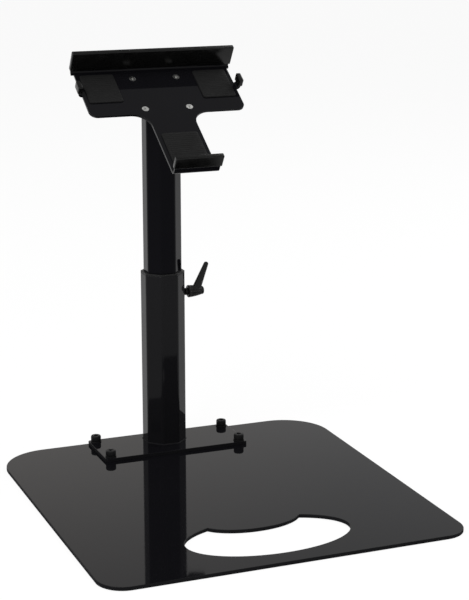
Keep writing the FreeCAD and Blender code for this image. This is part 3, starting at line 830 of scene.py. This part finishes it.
def octagon_path(flats, corner, spacing):
    """Points and outward directions round an octagon with rounded corners, about evenly spaced."""
    apothem = flats / 2
    straight = (apothem - corner) * math.tan(math.pi / 8)
    count = max(int(2 * straight / spacing), 2)
    path = []
    for face in range(8):
        turn = math.pi / 4 * face
        outward = Vector((math.cos(turn), math.sin(turn), 0))
        along = Vector((-math.sin(turn), math.cos(turn), 0))
        for step in range(count):
            path.append((outward * apothem + along * straight * (2 * step / count - 1), outward))
        centre = outward * (apothem - corner) + along * straight
        for step in range(WELD_CORNER_STEPS):
            angle = turn + math.pi / 4 * step / WELD_CORNER_STEPS
            direction = Vector((math.cos(angle), math.sin(angle), 0))
            path.append((centre + direction * corner, direction))
    return path


def weld_section(foot, outward, size):
    """Points round the bead's hollow section, from its root outwards and up."""
    inward = outward * -WELD_ROOT
    section = [foot + inward]
    for step in range(WELD_SECTION_POINTS):
        angle = math.pi / 2 * step / (WELD_SECTION_POINTS - 1)
        out = outward * size * math.cos(angle) ** WELD_HOLLOW
        section.append(foot + out + Vector((0, 0, size * math.sin(angle) ** WELD_HOLLOW)))
    section.append(foot + inward + Vector((0, 0, size)))
    return section


def foot_weld():
    """Fillet weld round the post's foot, with the ripples of its bead."""
    low, high = extent("foot_weld")
    middle = Vector(((low.x + high.x) / 2, (low.y + high.y) / 2, low.z))
    leg = high.z - low.z
    generator = random.Random(WELD_SEED)
    path = octagon_path(POST_FLATS, POST_CORNER, WELD_SPACING)
    vertices = []
    travelled = 0.0
    previous = path[0][0]
    for point, outward in path:
        travelled += (point - previous).length
        previous = point
        wave = abs(math.sin(math.pi * travelled / WELD_RIPPLE_PITCH))
        size = leg * (1 - WELD_RIPPLE * (1 - wave)) * (1 - WELD_UNEVEN * generator.random())
        vertices += weld_section(middle + point, outward, size)
    faces = ring_faces(len(path), len(vertices) // len(path), closed=True)
    obj = object_from("weld_bead", vertices, faces)
    dress(smooth(obj, crease=60), "base", "black_paint", "foot_weld")


# Rubber on the cradle

def rounded_block(name, low, high, radius, place):
    """Box with rounded edges."""
    work = bmesh.new()
    bmesh.ops.create_cube(work, size=1.0)
    size = high - low
    for vertex in work.verts:
        vertex.co = Vector([(vertex.co[axis] + 0.5) * size[axis] + low[axis] for axis in range(3)])
    bmesh.ops.bevel(
        work, geom=work.edges[:], offset=radius, segments=ROUND_SEGMENTS, profile=0.5, affect="EDGES")
    work.transform(place)
    mesh = bpy.data.meshes.new(name)
    work.to_mesh(mesh)
    work.free()
    return add_object(name, mesh)


def lip_cover(node):
    """Moulded rubber cap with a slot for the lip that it sits on."""
    low, high = extent(node, CRADLE)
    long_axis = 0 if high.x - low.x > high.y - low.y else 1
    thin_axis = 1 - long_axis
    obj = rounded_block("rubber_" + node, low, high, COVER_ROUND, CRADLE)
    slot_low, slot_high = low.copy(), high.copy()
    slot_low[long_axis] += COVER_END_WALL
    slot_high[long_axis] -= COVER_END_WALL
    middle = (low[thin_axis] + high[thin_axis]) / 2
    slot_low[thin_axis] = middle - LIP_THICKNESS / 2 - SLOT_CLEARANCE
    slot_high[thin_axis] = middle + LIP_THICKNESS / 2 + SLOT_CLEARANCE
    slot_low.z -= COVER_WALL
    slot_high.z -= COVER_WALL
    cut_out(obj, rounded_block(node + "_slot", slot_low, slot_high, SLOT_ROUND, CRADLE))
    dress(smooth(obj, crease=40), "mast", "black_rubber", node)


def pad_steps(width, step):
    """Places from rim to rim about the middle, closer together at the rim."""
    count = max(int(width / step), PAD_LEAST_STEPS)
    inner = width / 2 - PAD_ROUND
    edge = [-width / 2 + PAD_ROUND * share for share in PAD_ROUND_STEPS]
    middle = [-inner + 2 * inner * place / count for place in range(1, count)]
    return edge + middle + [-value for value in reversed(edge)]


def pad_point(x, y, half):
    """The point, drawn in to the pad's rounded corner if it lies outside, and its distance from the rim."""
    corner_x, corner_y = half.x - PAD_CORNER, half.y - PAD_CORNER
    over_x, over_y = abs(x) - corner_x, abs(y) - corner_y
    if over_x <= 0 or over_y <= 0:
        return x, y, min(half.x - abs(x), half.y - abs(y))
    reach = max(over_x, over_y)
    length = math.hypot(over_x, over_y)
    x = math.copysign(corner_x + over_x / length * reach, x)
    y = math.copysign(corner_y + over_y / length * reach, y)
    return x, y, PAD_CORNER - reach


def pad_drop(along, rim):
    """Drop of the pad's top below its ribs, by the place along the slope and the distance from the rim."""
    rib = 0.5 - 0.5 * math.cos(2 * math.pi * along / PAD_RIB_PITCH)
    fade = clamped((rim - PAD_ROUND) / PAD_RIB_PITCH)
    return PAD_RIB_HEIGHT * (1 - rib * fade) + round_drop(rim, PAD_ROUND)


def grid_faces(rows, columns):
    """Faces between the points of a grid."""
    faces = []
    for row in range(rows - 1):
        for column in range(columns - 1):
            at = row * columns + column
            faces.append((at, at + 1, at + columns + 1, at + columns))
    return faces


def grid_rim(rows, columns):
    """Points of a grid, once round its rim."""
    front = list(range(columns))
    right = [row * columns + columns - 1 for row in range(1, rows)]
    rear = [(rows - 1) * columns + column for column in range(columns - 2, -1, -1)]
    left = [row * columns for row in range(rows - 2, 0, -1)]
    return front + right + rear + left


def ribbed_pad(node):
    """Anti-slip pad with a rounded rim and low ribs across the slope."""
    low, high = extent(node, CRADLE)
    middle = (low + high) / 2
    half = (high - low) / 2
    xs = pad_steps(high.x - low.x, PAD_STEP_ACROSS)
    ys = pad_steps(high.y - low.y, PAD_STEP_ALONG)
    vertices = []
    for y in ys:
        for x in xs:
            inner_x, inner_y, rim = pad_point(x, y, half)
            vertices.append((middle.x + inner_x, middle.y + inner_y, high.z - pad_drop(y + half.y, rim)))
    faces = grid_faces(len(ys), len(xs))
    rim_points = grid_rim(len(ys), len(xs))
    foot, count = len(vertices), len(rim_points)
    vertices += [(*vertices[index][:2], low.z) for index in rim_points]
    for step, index in enumerate(rim_points):
        beside = (step + 1) % count
        faces.append((index, foot + step, foot + beside, rim_points[beside]))
    faces.append(tuple(range(foot, foot + count)))
    obj = object_from("ribbed_" + node, vertices, faces, place=CRADLE)
    dress(smooth(obj, crease=50), "mast", "black_rubber", node)


# Stage

def camera():
    """Camera of the photograph's view."""
    data = bpy.data.cameras.new("camera")
    data.sensor_fit = "VERTICAL"
    data.sensor_height = SENSOR_MM
    data.lens = FOCAL_LENGTH_PX / IMAGE_HEIGHT_PX * SENSOR_MM
    data.clip_end = CAMERA_REACH
    obj = add_object("camera", data)
    turn = Matrix.Rotation(-CAMERA_YAW, 4, "Z") @ Matrix.Rotation(math.pi / 2 - CAMERA_PITCH, 4, "X")
    obj.matrix_world = Matrix.Translation(CAMERA_PLACE) @ turn @ Matrix.Rotation(-CAMERA_ROLL, 4, "Z")
    scene.camera = obj


def seen_directly(tree):
    """1 for rays that show the background: from the camera, off gloss or through glass."""
    path = add_node(tree, "ShaderNodeLightPath", {})
    either = calculated(tree, "MAXIMUM", path.outputs["Is Camera Ray"], path.outputs["Is Glossy Ray"])
    return calculated(tree, "MAXIMUM", either, path.outputs["Is Transmission Ray"])


def floor():
    """Pale floor that looks white and keeps a soft shadow."""
    half = FLOOR_SIZE / 2
    corners = [(-half, -half, 0), (half, -half, 0), (half, half, 0), (-half, half, 0)]
    obj = object_from("floor", corners, [(0, 1, 2, 3)], place=Matrix.Translation((0, 0, -FLOOR_DROP)))
    material, tree = new_material("pale_floor")
    matt = add_node(tree, "ShaderNodeBsdfDiffuse", {"Color": (FLOOR_ALBEDO, FLOOR_ALBEDO, FLOOR_ALBEDO, 1.0)})
    white = add_node(tree, "ShaderNodeEmission", {"Strength": 1.0})
    share = calculated(tree, "MULTIPLY", seen_directly(tree), FLOOR_GLOW)
    end_in(tree, "ShaderNodeMixShader", {0: share, 1: matt.outputs[0], 2: white.outputs[0]})
    obj.data.materials.append(material)


def sky_colour(tree, direction):
    """Brightness of the surroundings by the height of a direction."""
    height = add_node(tree, "ShaderNodeSeparateXYZ", {0: direction}).outputs["Z"]
    ramp = add_node(tree, "ShaderNodeValToRGB", {"Fac": height})
    stops = ramp.color_ramp.elements
    while len(stops) < len(SKY_STOPS):
        stops.new(1.0)
    for stop, (position, brightness) in zip(stops, SKY_STOPS):
        stop.position = position
        stop.color = (brightness, brightness, brightness, 1.0)
    return ramp.outputs["Color"]


def studio_world():
    """Soft surroundings: white towards the horizon, greyer above, with a pale glow behind the object."""
    world = bpy.data.worlds.new("studio")
    scene.world = world
    world.use_nodes = True
    tree = world.node_tree
    tree.nodes.clear()
    direction = add_node(tree, "ShaderNodeTexCoord", {}).outputs["Generated"]
    sky = add_node(tree, "ShaderNodeBackground", {"Color": sky_colour(tree, direction)})
    towards = likeness(tree, direction, GLOW_DIRECTION.normalized())
    strength = mapped(tree, towards, (GLOW_EDGE, 1.0), (0.0, GLOW_STRENGTH))
    glow = add_node(tree, "ShaderNodeBackground", {"Color": GLOW_COLOUR, "Strength": strength})
    total = add_node(tree, "ShaderNodeAddShader", {0: sky.outputs[0], 1: glow.outputs[0]})
    add_node(tree, "ShaderNodeOutputWorld", {"Surface": total.outputs[0]})


def softbox(name, place, size, power):
    """Square lamp that faces the stand."""
    data = bpy.data.lights.new(name, "AREA")
    data.shape = "SQUARE"
    data.size = size
    data.energy = power
    obj = add_object(name, data)
    obj.location = place
    obj.rotation_euler = (LAMP_TARGET - place).to_track_quat("-Z", "Y").to_euler()
    obj.visible_camera = False


for subpart in frame["record"]["subparts"]:
    give_finish(nodes[subpart["node"]], subpart["node"], subpart["material_slot"])
flange_screws()
cradle_nuts()
clamp_stud()
lever_handle()
lever_spring()
foot_weld()
for cover_node in ("front_cover", "rear_cover", "left_cover", "right_cover"):
    lip_cover(cover_node)
for pad_node in ("front_pad", "left_pad", "right_pad"):
    ribbed_pad(pad_node)

camera()
floor()
studio_world()
softbox("key_light", KEY_PLACE, KEY_SIZE, KEY_POWER)
softbox("fill_light", FILL_PLACE, FILL_SIZE, FILL_POWER)
scene.view_settings.view_transform = "Standard"
